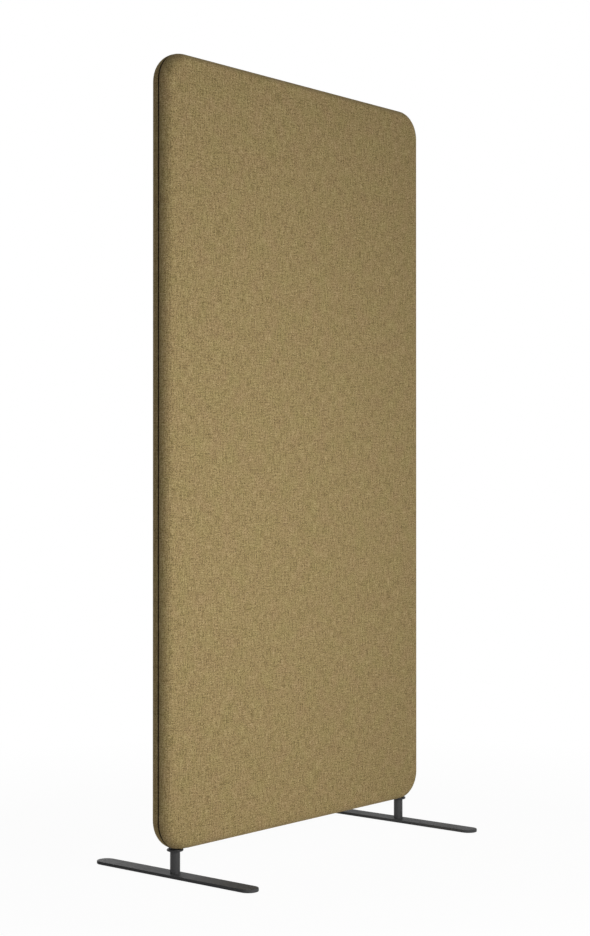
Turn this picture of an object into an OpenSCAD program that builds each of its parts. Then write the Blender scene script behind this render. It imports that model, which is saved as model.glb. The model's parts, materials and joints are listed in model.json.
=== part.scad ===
// Free-standing acoustic divider screen: a padded, fabric-covered panel on two flat bar feet.
// X runs along the width, the front looks towards -Y and Z is up.
// The origin is on the floor, under the middle of the panel.

/* [Panel] */
// Width of the panel over its covers
panel_w = 800; // [600:10:1600]
// Height of the panel over its covers
panel_h = 1500; // [900:10:2000]
// Thickness of the panel over its covers
panel_t = 50; // [44:1:64]
// Radius of the four corners of the panel's outline
corner_r = 58; // [50:1:75]
// Half width of the flat band along the panel's edge, beyond which the edge rounds over
edge_flat = 5; // [4:0.5:8]
// Thickness of a fabric cover
cover_t = 1; // [0.6:0.1:1.5]

/* [Timber frame] */
// Thickness of the frame, front to back
frame_t = 30; // [24:1:32]
// Distance from the panel's outline in to the frame
frame_inset = 8; // [7:0.5:10]
// Width of the stiles and rails
member_w = 40; // [36:1:60]
// Side of a square corner block
block_w = 90; // [80:1:120]
// Diameter of the dowels between the blocks and the members
dowel_d = 8; // [6:1:10]
// Length of a dowel
dowel_l = 40; // [30:1:50]
// Wood left between a dowel and the nearest edge or groove
dowel_margin = 4; // [2:0.5:4.5]
// Thickness of the board in the middle of the frame
septum_t = 3; // [2:0.5:5]
// Depth of the groove that holds the board
groove_depth = 8; // [5:0.5:10]

/* [Zip] */
// Width of the slot between the edges of the two covers
slot_w = 5; // [5:0.1:6]
// Width of both rows of teeth together
chain_w = 4.6; // [4:0.1:4.8]
// Width of the slit between the two rows of teeth
slit_w = 1; // [0.8:0.1:1.4]
// Thickness of the rows of teeth
teeth_t = 1.8; // [1.4:0.1:2]
// How deep the rows of teeth lie below the panel's outline
teeth_sunk = 0.4; // [0.3:0.1:0.6]
// Thickness of a zip tape
tape_t = 0.6; // [0.4:0.1:0.8]
// Width of a zip tape
tape_w = 10; // [8:1:14]
// Length of an end stop along the zip
stop_l = 2.4; // [2:0.2:4]

/* [Slider] */
// Width of the slider's plates
slider_w = 8; // [7:0.5:9]
// Length of the slider's plates
slider_l = 10; // [8:0.5:14]
// Thickness of a plate
plate_t = 1.4; // [1:0.1:1.6]
// Corner radius of the plates
plate_r = 2; // [1:0.1:2.5]
// Thickness of the blade that joins the plates through the slit
blade_t = 0.6; // [0.4:0.1:0.6]
// Length of that blade
blade_l = 4; // [2:0.5:6]
// Width of the ear that carries the pull
ear_w = 2; // [1.6:0.1:2.4]
// Height of the ear above the outer plate
ear_h = 3.4; // [3.2:0.1:3.8]
// Diameter of the pull's cross pin
pin_d = 1.8; // [1.4:0.1:1.8]
// Width of one arm of the pull
arm_w = 1.4; // [1:0.1:1.6]
// Length of the pull's tab
tab_l = 20; // [14:1:26]
// Width of the pull's tab
tab_w = 6.4; // [5:0.2:8]
// Thickness of the pull's tab
tab_t = 1.2; // [0.8:0.1:1.6]

/* [Feet] */
// Distance from the panel's side to the axis of a foot
post_inset = 46; // [40:1:70]
// Length of a foot bar
bar_l = 404; // [300:1:520]
// Width of a foot bar
bar_w = 38; // [30:1:50]
// Thickness of a foot bar
bar_t = 6; // [5.5:0.5:10]
// Radius of a foot bar's long edges
bar_edge_r = 1; // [0.5:0.1:1.5]
// Diameter of a post
post_d = 19; // [16:1:25]
// Length of a post between its bar and its collar
post_h = 42.5; // [20:0.5:45]
// Diameter of a collar
collar_d = 31.5; // [26:0.5:36]
// Thickness of a collar
collar_t = 4.4; // [3:0.1:6]
// Radius of a collar's rim
collar_rim_r = 1.8; // [0.5:0.1:2.2]
// How far a collar is pressed up into the panel's soft lower edge
collar_sunk = 2.2; // [0.5:0.1:2.5]
// Diameter of the bush between a collar and the frame
bush_d = 16; // [15:0.5:18]
// Diameter of a foot bolt
bolt_d = 8; // [6:1:8]
// Length of a foot bolt with its head
bolt_l = 80; // [76:1:84]
// Diameter of a foot bolt's countersunk head
head_d = 16; // [14:0.5:16.5]
// Width across the flats of the socket in the head
socket_af = 5; // [4:0.5:6]
// Depth of that socket
socket_depth = 3; // [2:0.5:4]
// Diameter of a threaded insert's barrel
insert_d = 12; // [11:0.5:13]
// Length of that barrel
insert_l = 22; // [20:1:28]
// Thickness of a threaded insert's flange
flange_t = 1.5; // [1:0.1:3]
// Diameter of a glide
glide_d = 20; // [14:1:26]
// Thickness of a glide
glide_t = 2; // [1:0.5:5]
// Distance from a bar's end to the middle of its glide
glide_inset = 28; // [20:1:60]

/* [Clearances] */
// Play between wooden, metal and board pieces that fit together
fit_gap = 0.1; // [0.05:0.01:0.15]
// Play between soft layers and what they lie on
soft_gap = 0.1; // [0.05:0.01:0.15]
// Radial play of a bolt in its insert, and of the pull's pin
run_gap = 0.05; // [0.02:0.01:0.1]
// Radial play of a bolt in the pieces it only passes through
pass_gap = 0.2; // [0.1:0.05:0.3]
// Gap between a collar and the cover round it, and round the slider
rub_gap = 0.3; // [0.2:0.05:0.4]
// Radial room round a bush in the covers and the padding
hole_gap = 0.5; // [0.3:0.1:1]

/* [Hidden] */
$fn = 96;
overrun = 1;

// Panel: the rounded edge is a quarter circle from the flat band to the face
edge_r = panel_t / 2 - edge_flat;
straight_w = panel_w - 2 * corner_r;
straight_h = panel_h - 2 * corner_r;

// Frame
frame_w = panel_w - 2 * frame_inset;
frame_h = panel_h - 2 * frame_inset;
block_r = corner_r - frame_inset;
dowel_rows = [
    dowel_margin + dowel_d / 2,
    member_w - groove_depth - dowel_margin - dowel_d / 2
];

// Layers, counted inwards from the panel's outline
lining = cover_t + soft_gap;
tape_back = lining + tape_t;
teeth_back = teeth_sunk + teeth_t;

// The zip's tapes begin beside the teeth; the padding stays clear of the slider's inner plate
tape_from = chain_w / 2 + soft_gap;
tape_to = tape_from + tape_w;
padding_from = slider_w / 2 + 2 * rub_gap;

// Feet, from the floor up
bar_z = glide_t;
post_z = bar_z + bar_t;
collar_z = post_z + post_h;
bush_z = collar_z + collar_t;
panel_z = bush_z - collar_sunk;
post_x = panel_w / 2 - post_inset;

// The insert's seat is deep enough for its flange to clear the block's rounded corner
flange_reach = max(0, corner_r - post_inset + bush_d / 2);
seat_depth = frame_inset + block_r - sqrt(pow(block_r, 2) - pow(flange_reach, 2));
flange_z = panel_z + seat_depth - flange_t;
bush_l = flange_z - bush_z;
head_h = (head_d - bolt_d) / 2;

// The zip ends beside the bush, on the lower corners' arcs; angles count from straight down
hole_d = bush_d + 2 * hole_gap;
stop_from = asin((corner_r - post_inset + hole_d / 2 + rub_gap) / corner_r);
stop_sweep = 180 * stop_l / (PI * corner_r);
zip_from = stop_from + stop_sweep;

// Slider: its middle stands just above the lower corner, at the end of the straight run
slider_z = panel_z + corner_r + slider_l / 2;
ear_l = slider_l - 2 * plate_r;
ear_top_r = ear_h / 2;
pin_x = rub_gap + plate_t + ear_h - ear_top_r;
pull_slot = ear_w + 4 * run_gap;
tab_from = ear_l / 2 + 2 * rub_gap;
inner_plate_x = -teeth_back - rub_gap - plate_t;

fabric_colour = [0.59, 0.52, 0.36];
zip_colour = [0.1, 0.09, 0.08];
steel_colour = [0.23, 0.23, 0.24];
timber_colour = [0.78, 0.64, 0.44];
plywood_colour = [0.72, 0.56, 0.36];
board_colour = [0.42, 0.3, 0.2];
absorber_colour = [0.85, 0.85, 0.83];
padding_colour = [0.93, 0.91, 0.85];
zinc_colour = [0.72, 0.72, 0.7];
rubber_colour = [0.08, 0.08, 0.08];

// Stands a shape drawn flat up in its place: x stays the width, y becomes the height and z the front
module stand() {
    translate([0, 0, panel_z + panel_h / 2]) rotate([90, 0, 0]) children();
}

// Repeats a shape of the left side on the right
module both_sides() {
    for (flip = [0, 1]) mirror([flip, 0, 0]) children();
}

// Turns a shape of the front half into the rear half
module to_rear() {
    mirror([0, 0, 1]) children();
}

// Rectangle with round corners
module round_rect(size, r) {
    square([size[0] - 2 * r, size[1]], center = true);
    square([size[0], size[1] - 2 * r], center = true);
    for (sx = [-1, 1], sy = [-1, 1])
        translate([sx * (size[0] / 2 - r), sy * (size[1] / 2 - r)]) circle(r);
}

// Carries a profile along one straight side. Side 0 is the right one, then top, left and bottom.
// In the profile x is the distance in from the outline and y the distance from the mid-plane.
module edge_run(side) {
    reach = side % 2 == 0 ? panel_w / 2 : panel_h / 2;
    run = side % 2 == 0 ? straight_h : straight_w;
    rotate([0, 0, 90 * side]) translate([reach, -run / 2, 0])
        rotate([90, 0, 180]) linear_extrude(run) children();
}

// Carries a profile round the corner that follows a side, from one angle through a sweep.
// The profile ends at the corner's axis, so that rounding never takes it across.
module edge_corner(side, from = 0, sweep = 90) {
    sx = side == 0 || side == 3 ? 1 : -1;
    sy = side < 2 ? 1 : -1;
    translate([sx * straight_w / 2, sy * straight_h / 2, 0])
        rotate([0, 0, 90 * side + from]) rotate_extrude(angle = sweep) intersection() {
            translate([corner_r, 0]) mirror([1, 0]) children();
            translate([0, -panel_t / 2]) square([corner_r + overrun, panel_t]);
        }
}

module full_edge() {
    for (side = [0:3]) {
        edge_run(side) children();
        edge_corner(side) children();
    }
}

// The zip's path: up one side, over the top and down the other, and round to the feet
module zip_edge() {
    for (side = [0:2]) edge_run(side) children();
    for (side = [0:1]) edge_corner(side) children();
    both_sides() edge_corner(2, 0, 90 - zip_from) children();
}

// Half of the panel's cross-section near its edge, a distance in from the outline
module half_section(inset, from) {
    translate([inset, from]) square([corner_r - inset, edge_flat - from]);
    translate([edge_r, from]) square([corner_r - edge_r, panel_t / 2 - inset - from]);
    intersection() {
        translate([edge_r, edge_flat]) circle(edge_r - inset);
        translate([inset, edge_flat]) square(edge_r - inset);
    }
}

// Front half of the panel as one solid, a distance in from its outer skin
module half_body(inset, from) {
    full_edge() half_section(inset, from);
    translate([0, 0, from]) linear_extrude(panel_t / 2 - inset - from)
        square([straight_w, straight_h], center = true);
}

// Strip that follows the inside of the covers, between two distances from the mid-plane
module lining_strip(back, from, to) {
    intersection() {
        difference() {
            half_section(lining, 0);
            half_section(back, -overrun);
        }
        translate([0, from]) square([corner_r, to - from]);
    }
}

// Room for the two collars in the panel's lower edge; the layers behind the cover keep clear by its wall too
module collar_seats(wall) {
    for (side = [-1, 1])
        translate([side * post_x, -panel_h / 2 - overrun, 0]) rotate([-90, 0, 0])
            cylinder(h = overrun + collar_sunk + rub_gap + wall, d = collar_d + 2 * (rub_gap + wall));
}

// Room for the two bushes, up through the panel's lower edge
module bush_holes() {
    for (side = [-1, 1])
        translate([side * post_x, 0, panel_z - overrun])
            cylinder(h = seat_depth + overrun, d = hole_d);
}

module at_dowels() {
    for (sx = [-1, 1], sy = [-1, 1], row = dowel_rows) {
        translate([sx * (frame_w / 2 - row), sy * (frame_h / 2 - block_w), 0])
            rotate([90, 0, 0]) children();
        translate([sx * (frame_w / 2 - block_w), sy * (frame_h / 2 - row), 0])
            rotate([0, 90, 0]) children();
    }
}

module dowel_holes() {
    at_dowels() cylinder(h = dowel_l + 2 * fit_gap, d = dowel_d + 2 * fit_gap, center = true);
}

// Board with its four corners cut out round the corner blocks
module notched_board(edge_from_frame, gap, thickness) {
    size = [frame_w - 2 * edge_from_frame, frame_h - 2 * edge_from_frame];
    notch = block_w - edge_from_frame + gap;
    linear_extrude(thickness) difference() {
        square(size, center = true);
        for (sx = [-1, 1], sy = [-1, 1])
            translate([sx * (size[0] / 2 + (overrun - notch) / 2), sy * (size[1] / 2 + (overrun - notch) / 2)])
                square(notch + overrun, center = true);
    }
}

module frame_stile(side) {
    run = frame_h - 2 * block_w;
    groove_x = frame_w / 2 - member_w + (groove_depth - overrun) / 2;
    color(timber_colour) stand() difference() {
        translate([side * (frame_w - member_w) / 2, 0, 0]) cube([member_w, run, frame_t], center = true);
        translate([side * groove_x, 0, 0])
            cube([groove_depth + overrun, run + overrun, septum_t + 2 * fit_gap], center = true);
        dowel_holes();
    }
}

module frame_rail(side) {
    run = frame_w - 2 * block_w;
    groove_y = frame_h / 2 - member_w + (groove_depth - overrun) / 2;
    color(timber_colour) stand() difference() {
        translate([0, side * (frame_h - member_w) / 2, 0]) cube([run, member_w, frame_t], center = true);
        translate([0, side * groove_y, 0])
            cube([run + overrun, groove_depth + overrun, septum_t + 2 * fit_gap], center = true);
        dowel_holes();
    }
}

// Corner block; sx and sy give its corner of the frame, and the lower ones hold the inserts
module corner_block(sx, sy) {
    color(plywood_colour) difference() {
        stand() difference() {
            translate([0, 0, -frame_t / 2]) linear_extrude(frame_t) intersection() {
                round_rect([frame_w, frame_h], block_r);
                translate([sx * (frame_w - block_w) / 2, sy * (frame_h - block_w) / 2])
                    square(block_w, center = true);
            }
            dowel_holes();
        }
        if (sy < 0) translate([sx * post_x, 0, panel_z]) {
            translate([0, 0, -overrun]) cylinder(h = seat_depth + overrun, d = bush_d + 2 * fit_gap);
            cylinder(h = seat_depth + insert_l + fit_gap, d = insert_d + 2 * fit_gap);
        }
    }
}

module frame_dowels() {
    color(timber_colour) stand() at_dowels() cylinder(h = dowel_l, d = dowel_d, center = true);
}

module septum_board() {
    color(board_colour) stand() translate([0, 0, -septum_t / 2])
        notched_board(member_w - groove_depth + fit_gap, fit_gap, septum_t);
}

module absorber() {
    from = septum_t / 2 + soft_gap;
    color(absorber_colour) translate([0, 0, from])
        notched_board(member_w + soft_gap, soft_gap, frame_t / 2 - from);
}

module front_absorber() {
    stand() absorber();
}

module rear_absorber() {
    stand() to_rear() absorber();
}

module threaded_insert(side) {
    color(zinc_colour) translate([side * post_x, 0, flange_z]) difference() {
        union() {
            cylinder(h = flange_t, d = bush_d);
            cylinder(h = flange_t + insert_l, d = insert_d);
        }
        translate([0, 0, -overrun]) cylinder(h = flange_t + insert_l + 2 * overrun, d = bolt_d + 2 * run_gap);
    }
}

// Front padding: it covers the frame's face and wraps its edges, with a recess for the zip tape
module padding() {
    difference() {
        half_body(lining, padding_from);
        translate([0, 0, -overrun]) linear_extrude(frame_t / 2 + soft_gap + overrun)
            round_rect([frame_w + 2 * soft_gap, frame_h + 2 * soft_gap], block_r + soft_gap);
        full_edge() difference() {
            translate([-overrun, -overrun]) square([overrun + edge_r, tape_to + soft_gap + overrun]);
            half_section(tape_back + soft_gap, -2 * overrun);
        }
        collar_seats(lining);
    }
}

module front_padding() {
    color(padding_colour) difference() {
        stand() padding();
        bush_holes();
    }
}

module rear_padding() {
    color(padding_colour) difference() {
        stand() to_rear() padding();
        bush_holes();
    }
}

module cover() {
    difference() {
        half_body(0, slot_w / 2);
        collar_seats(0);
        difference() {
            half_body(cover_t, slot_w / 2 - overrun);
            collar_seats(cover_t);
        }
    }
}

module front_cover() {
    color(fabric_colour) difference() {
        stand() cover();
        bush_holes();
    }
}

module rear_cover() {
    color(fabric_colour) difference() {
        stand() to_rear() cover();
        bush_holes();
    }
}

module zip_tape() {
    zip_edge() lining_strip(tape_back, tape_from, tape_to);
}

module zip_tape_front() {
    color(zip_colour) stand() zip_tape();
}

module zip_tape_rear() {
    color(zip_colour) stand() to_rear() zip_tape();
}

module zip_teeth() {
    zip_edge() translate([teeth_sunk, slit_w / 2]) square([teeth_t, (chain_w - slit_w) / 2]);
}

module zip_teeth_front() {
    color(zip_colour) stand() zip_teeth();
}

module zip_teeth_rear() {
    color(zip_colour) stand() to_rear() zip_teeth();
}

// Metal clips that close both ends of the rows of teeth
module zip_end_stops() {
    color(zinc_colour) stand() both_sides() edge_corner(2, 90 - zip_from, stop_sweep)
        translate([teeth_sunk, -chain_w / 2]) square([teeth_t, chain_w]);
}

// Sewn strip that joins the covers along the bottom, between the feet
module bottom_closing_strip() {
    color(fabric_colour) stand() difference() {
        edge_run(3) {
            lining_strip(tape_back, 0, tape_to);
            mirror([0, 1]) lining_strip(tape_back, 0, tape_to);
        }
        collar_seats(lining);
    }
}

// Slider: two plates over and under the teeth, a blade in the slit and an ear for the pull
module zip_slider() {
    color(steel_colour) translate([panel_w / 2, 0, slider_z]) {
        for (x = [rub_gap, inner_plate_x])
            translate([x, 0, 0]) rotate([90, 0, 90]) linear_extrude(plate_t)
                round_rect([slider_w, slider_l], plate_r);
        translate([inner_plate_x, -blade_t / 2, 0]) cube([rub_gap + plate_t - inner_plate_x, blade_t, blade_l]);
        rotate([90, 0, 0]) translate([0, 0, -ear_w / 2]) linear_extrude(ear_w) difference() {
            translate([rub_gap + plate_t / 2, -ear_l / 2]) union() {
                square([plate_t / 2 + ear_h - ear_top_r, ear_l]);
                translate([0, ear_top_r]) square([plate_t / 2 + ear_h, ear_l - 2 * ear_top_r]);
                for (y = [ear_top_r, ear_l - ear_top_r])
                    translate([plate_t / 2 + ear_h - ear_top_r, y]) circle(ear_top_r);
            }
            translate([pin_x, 0]) circle(d = pin_d + 2 * run_gap);
        }
    }
}

// Pull: a pin through the slider's ear, two arms beside it and a tab that hangs from them
module zip_pull() {
    half = pull_slot / 2 + arm_w;
    color(steel_colour) translate([panel_w / 2 + pin_x, 0, slider_z]) {
        rotate([90, 0, 0]) cylinder(h = 2 * half, d = pin_d, center = true);
        for (side = [-1, 1])
            translate([-tab_t / 2, side * (half - arm_w / 2) - arm_w / 2, -tab_from - arm_w])
                cube([tab_t, arm_w, tab_from + arm_w]);
        translate([-tab_t / 2, 0, -tab_from - tab_l / 2]) rotate([90, 0, 90]) linear_extrude(tab_t)
            round_rect([tab_w, tab_l], arm_w);
    }
}

// Profile of a foot bar: a flat bar with eased edges, standing on its underside
module bar_profile() {
    translate([0, bar_t / 2]) round_rect([bar_w, bar_t], bar_edge_r);
}

module foot_bar(side) {
    straight = bar_l - bar_w;
    color(steel_colour) translate([side * post_x, 0, bar_z]) difference() {
        union() {
            translate([0, straight / 2, 0]) rotate([90, 0, 0]) linear_extrude(straight) bar_profile();
            for (end = [0, 1])
                rotate([0, 0, 180 * end]) translate([0, straight / 2, 0])
                    rotate_extrude(angle = 180) intersection() {
                        bar_profile();
                        square([bar_w, bar_t]);
                    }
        }
        translate([0, 0, -overrun]) {
            cylinder(h = bar_t + 2 * overrun, d = bolt_d + 2 * pass_gap);
            cylinder(
                h = overrun + head_h, d1 = head_d + 2 * (fit_gap + overrun), d2 = bolt_d + 2 * fit_gap
            );
        }
    }
}

module foot_post(side) {
    color(steel_colour) translate([side * post_x, 0, post_z]) difference() {
        cylinder(h = post_h, d = post_d);
        translate([0, 0, -overrun]) cylinder(h = post_h + 2 * overrun, d = bolt_d + 2 * pass_gap);
    }
}

module foot_collar(side) {
    bore_r = bolt_d / 2 + pass_gap;
    color(steel_colour) translate([side * post_x, 0, collar_z]) rotate_extrude() intersection() {
        translate([0, collar_t / 2]) round_rect([collar_d, collar_t], collar_rim_r);
        translate([bore_r, 0]) square([collar_d, collar_t]);
    }
}

module foot_bush(side) {
    color(steel_colour) translate([side * post_x, 0, bush_z]) difference() {
        cylinder(h = bush_l, d = bush_d);
        translate([0, 0, -overrun]) cylinder(h = bush_l + 2 * overrun, d = bolt_d + 2 * pass_gap);
    }
}

// Countersunk bolt with a six-sided socket, up through the bar, post, collar and bush
module foot_bolt(side) {
    color(zinc_colour) translate([side * post_x, 0, bar_z]) difference() {
        union() {
            cylinder(h = bolt_l, d = bolt_d);
            cylinder(h = head_h, d1 = head_d, d2 = bolt_d);
        }
        translate([0, 0, -overrun])
            cylinder(h = socket_depth + overrun, d = socket_af / cos(180 / 6), $fn = 6);
    }
}

module foot_glides(side) {
    color(rubber_colour) for (end = [-1, 1])
        translate([side * post_x, end * (bar_l / 2 - glide_inset), 0]) cylinder(h = glide_t, d = glide_d);
}

frame_stile(-1);  // frame_stile_left
frame_stile(1);  // frame_stile_right
frame_rail(1);  // frame_rail_top
frame_rail(-1);  // frame_rail_bottom
corner_block(-1, 1);  // corner_block_top_left
corner_block(1, 1);  // corner_block_top_right
corner_block(-1, -1);  // corner_block_bottom_left
corner_block(1, -1);  // corner_block_bottom_right
frame_dowels();
septum_board();
front_absorber();
rear_absorber();
threaded_insert(-1);  // threaded_insert_left
threaded_insert(1);  // threaded_insert_right
front_padding();
rear_padding();
front_cover();
rear_cover();
zip_tape_front();
zip_tape_rear();
zip_teeth_front();
zip_teeth_rear();
zip_end_stops();
bottom_closing_strip();
zip_slider();
zip_pull();
foot_bar(-1);  // foot_bar_left
foot_post(-1);  // foot_post_left
foot_collar(-1);  // foot_collar_left
foot_bush(-1);  // foot_bush_left
foot_bolt(-1);  // foot_bolt_left
foot_glides(-1);  // foot_glides_left
foot_bar(1);  // foot_bar_right
foot_post(1);  // foot_post_right
foot_collar(1);  // foot_collar_right
foot_bush(1);  // foot_bush_right
foot_bolt(1);  // foot_bolt_right
foot_glides(1);  // foot_glides_right
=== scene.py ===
# Looks for the acoustic divider screen: padded woven covers, edge zip, timber core and steel bar feet
import json
import math
import bpy
import numpy as np
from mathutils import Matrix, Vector

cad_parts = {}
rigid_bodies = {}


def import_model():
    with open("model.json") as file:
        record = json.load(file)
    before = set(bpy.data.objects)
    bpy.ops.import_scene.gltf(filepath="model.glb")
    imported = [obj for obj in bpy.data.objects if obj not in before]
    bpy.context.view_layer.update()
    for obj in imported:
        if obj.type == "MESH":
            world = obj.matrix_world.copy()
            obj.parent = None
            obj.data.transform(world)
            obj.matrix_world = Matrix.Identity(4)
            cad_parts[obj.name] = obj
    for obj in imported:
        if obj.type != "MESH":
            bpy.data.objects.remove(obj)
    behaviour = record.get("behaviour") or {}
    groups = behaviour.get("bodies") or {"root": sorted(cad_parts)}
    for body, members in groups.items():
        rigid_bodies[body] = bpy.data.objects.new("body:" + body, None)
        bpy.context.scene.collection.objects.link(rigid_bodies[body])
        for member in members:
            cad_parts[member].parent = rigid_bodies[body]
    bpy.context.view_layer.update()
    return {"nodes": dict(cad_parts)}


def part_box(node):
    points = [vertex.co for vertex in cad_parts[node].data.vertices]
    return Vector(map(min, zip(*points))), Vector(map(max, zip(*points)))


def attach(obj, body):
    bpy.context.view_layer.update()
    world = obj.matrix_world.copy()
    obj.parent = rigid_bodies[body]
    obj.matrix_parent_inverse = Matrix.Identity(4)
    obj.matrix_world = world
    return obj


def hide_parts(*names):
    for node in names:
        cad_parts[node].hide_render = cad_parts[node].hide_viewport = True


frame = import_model()
nodes = frame["nodes"]
print("frame loaded with", len(nodes), "nodes")

# The panel's real form, in metres; x runs along its width, z up, and the front looks towards -y
coverLow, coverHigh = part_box("front_cover")
panel = {
    "halfWidth": coverHigh.x,
    "halfHeight": (coverHigh.z - coverLow.z) / 2,
    "middle": (coverHigh.z + coverLow.z) / 2,
    "depth": -coverLow.y,  # from the mid-plane to the face
    "corner": 0.058,
    "band": 0.002,  # from here the edge rounds over, as a quarter of an ellipse
    "round": 0.017,  # how far in the rounding reaches
}
innerX = panel["halfWidth"] - panel["corner"]  # half sides of the rectangle between the four corner centres
innerZ = panel["halfHeight"] - panel["corner"]


def meshPiece(name, points, faces, uv=None, angle=None):
    # a smooth mesh object at the origin; uv holds one pair for each point, in metres
    mesh = bpy.data.meshes.new(name)
    mesh.from_pydata(np.asarray(points).tolist(), [], faces)
    if uv is not None:
        corners = np.zeros(len(mesh.loops), np.int32)
        mesh.loops.foreach_get("vertex_index", corners)
        mesh.uv_layers.new(name="cloth").data.foreach_set("uv", np.asarray(uv, np.float32)[corners].ravel())
    mesh.polygons.foreach_set("use_smooth", np.ones(len(mesh.polygons), bool))
    if angle:
        mesh.set_sharp_from_angle(angle=math.radians(angle))
    mesh.update()
    piece = bpy.data.objects.new(name, mesh)
    bpy.context.scene.collection.objects.link(piece)
    return piece


def stripFaces(rows, columns, closed=True):
    # quads between neighbouring rows of a grid whose points are counted row by row
    wide = columns if closed else columns - 1
    row, column = np.meshgrid(np.arange(rows - 1), np.arange(wide), indexing="ij")
    after = (column + 1) % columns
    quads = np.stack([row * columns + column, row * columns + after,
                      (row + 1) * columns + after, (row + 1) * columns + column], -1)
    return quads.reshape(-1, 4)


# Rings round the panel share one plan: each point of a ring is a base point on the inner rectangle
# plus a way outwards, and an inset turns into a distance of corner radius minus inset along that way
meshing = {
    "spacing": 0.012,
    "cornerSteps": 30,
    "extra": (0.005, 0.010, 0.016),  # more columns beside the collars, measured in from the corners' centres
}


def evenMarks(half):
    # evenly spaced from -half to half
    return np.linspace(-half, half, round(2 * half / meshing["spacing"]) + 1)


def ringPlan():
    # for each ring point its base point, its way out and the point of the flat middle's rim that it meets
    extra = innerX - np.array(meshing["extra"])
    xs = np.unique(np.concatenate([evenMarks(innerX), extra, -extra]))
    zs = evenMarks(innerZ)
    nx, nz = len(xs), len(zs)
    grid = np.arange(nx * nz).reshape(nz, nx)  # the middle's own point numbers
    sides = [
        (np.stack([np.full(nz, innerX), zs], -1), 0, grid[:, -1]),
        (np.stack([xs[::-1], np.full(nx, innerZ)], -1), 90, grid[-1, ::-1]),
        (np.stack([np.full(nz, -innerX), zs[::-1]], -1), 180, grid[::-1, 0]),
        (np.stack([xs, np.full(nx, -innerZ)], -1), 270, grid[0, :]),
    ]
    base, angle, meets = [], [], []
    arc = meshing["cornerSteps"] - 1
    for points, turn, numbers in sides:
        base += [points, np.repeat(points[-1:], arc, 0)]
        angle += [np.full(len(points), float(turn)), turn + 90 * np.arange(1, arc + 1) / (arc + 1)]
        meets += [numbers, np.repeat(numbers[-1:], arc)]
    angle = np.radians(np.concatenate(angle))
    middle = np.stack(np.meshgrid(xs, zs), -1).reshape(-1, 2)
    return {"base": np.concatenate(base), "way": np.stack([np.cos(angle), np.sin(angle)], -1),
            "meets": np.concatenate(meets), "middle": middle, "grid": grid}


plan = ringPlan()
ringCount = len(plan["base"])


def ringPoints(profile):
    # profile rows are inset and depth; returns rows x ring x 3, with the front half's depth towards -y
    reach = (panel["corner"] - profile[:, 0])[:, None, None]
    flat = plan["base"][None] + plan["way"][None] * reach
    deep = np.broadcast_to(-profile[:, 1][:, None, None], flat[..., :1].shape)
    return np.concatenate([flat[..., :1], deep, flat[..., 1:] + panel["middle"]], -1)


def middlePoints(depth):
    # the flat middle at one depth
    flat = plan["middle"]
    return np.stack([flat[:, 0], np.full(len(flat), -depth), flat[:, 1] + panel["middle"]], -1)


def middleFaces(start):
    # quads of the flat middle, whose points are counted from start
    grid = plan["grid"] + start
    return np.stack([grid[:-1, :-1], grid[:-1, 1:], grid[1:, 1:], grid[1:, :-1]], -1).reshape(-1, 4)


def skinFaces(rows, middleAt):
    # ring rows 0 to rows-2 have their own points; the last row is the rim of the middle, which starts at middleAt
    number = np.arange((rows - 1) * ringCount).reshape(rows - 1, ringCount)
    number = np.concatenate([number, (middleAt + plan["meets"])[None]])
    after = np.roll(number, -1, 1)
    quads = np.stack([number[:-1], after[:-1], after[1:], number[1:]], -1)
    collapsed = quads[-1][:, 2] == quads[-1][:, 3]
    last, fans = quads[-1][~collapsed], quads[-1][collapsed][:, :3]
    quads = np.concatenate([quads[:-1].reshape(-1, 4), last, middleFaces(middleAt)])
    return quads.tolist() + fans.tolist()


def edgeInset(depth):
    # how far in the rounded edge lies: an ellipse from the band over to the face
    share = np.clip((np.asarray(depth) - panel["band"]) / (panel["depth"] - panel["band"]), 0, 1)
    return panel["round"] * (1 - np.sqrt(1 - share ** 2))


# Dents: where the feet's collars press up into the soft lower edge, every layer is lifted off them,
# in full out to just past the rim, then fading with a smooth step, and less and less towards the frame
collarLow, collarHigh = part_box("foot_collar_right")
dent = {
    "middle": (collarLow.x + collarHigh.x) / 2,
    "top": collarHigh.z,
    "room": 0.0003,
    "ease": 0.0004,  # rounds off where the lift begins
    "flat": 0.0170,  # full lift out to here from the collar's axis
    "fade": 0.009,
    "full": 0.0012,  # full lift this far into the panel
    "gone": 0.0074,
}


def smoothStep(value, low, high):
    # 0 below low, 1 above high, and an even curve between them
    share = np.clip((value - low) / (high - low), 0, 1)
    return share * share * (3 - 2 * share)


def dented(points):
    # the lift is what the skin lacks to clear the collar's top, softly cut off at nothing, times both fades
    x, y, z = np.abs(points[..., 0]), np.abs(points[..., 1]), points[..., 2]
    reach = panel["corner"] - edgeInset(y)
    aside = np.maximum(x - innerX, 0)
    skin = panel["middle"] - innerZ - np.sqrt(np.maximum(reach ** 2 - aside ** 2, 0))
    need = dent["top"] + dent["room"] - skin
    lift = (need + np.hypot(need, dent["ease"])) / 2
    near = 1 - smoothStep(np.hypot(x - dent["middle"], y), dent["flat"], dent["flat"] + dent["fade"])
    soft = 1 - smoothStep(z - skin, dent["full"], dent["gone"])
    moved = np.array(points)
    moved[..., 2] += np.where(z < panel["middle"], lift * near * soft, 0)
    return moved


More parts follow.
